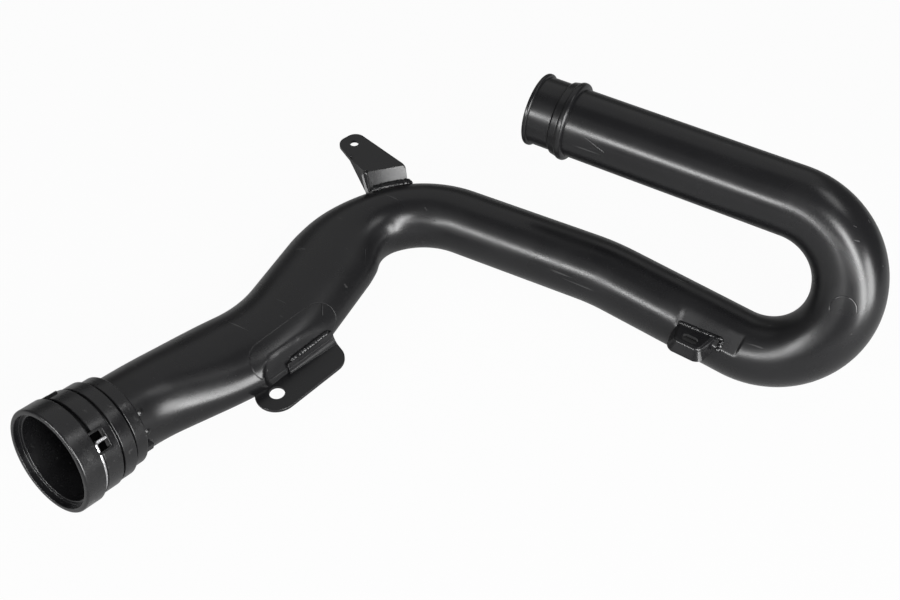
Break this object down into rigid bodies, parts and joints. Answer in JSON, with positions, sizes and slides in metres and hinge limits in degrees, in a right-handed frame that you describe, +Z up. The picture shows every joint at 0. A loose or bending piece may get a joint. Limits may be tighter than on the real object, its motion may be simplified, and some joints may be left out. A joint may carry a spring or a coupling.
{
  "type": "charge air pipe",
  "caption": "Bent black-painted metal charge air pipe with a moulded clip coupling on its oval leg, a beaded hose spigot on its return leg and welded sheet brackets.",
  "frame": {"origin": "middle of the box around the pipe, on the floor that it lies on", "axes": "+X along the long leg and the return leg, away from the hose spigot; +Y from the coupling towards the elbow; +Z up"},
  "size_m": [0.4618, 0.4185, 0.155],
  "materials": {
    "paint": "satin black paint",
    "plastic": "moulded black plastic",
    "wire": "drawn spring wire",
    "rubber": "moulded rubber"
  },
  "bodies": {
    "root": {"pipe": "paint", "coupler_body": "plastic", "retaining_clip": "wire", "seal_ring": "rubber", "upper_bracket": "paint", "side_bracket": "paint", "lower_bracket": "paint", "upper_bracket_weld": "paint", "side_bracket_weld": "paint", "lower_bracket_weld": "paint"}
  },
  "joints": []
}
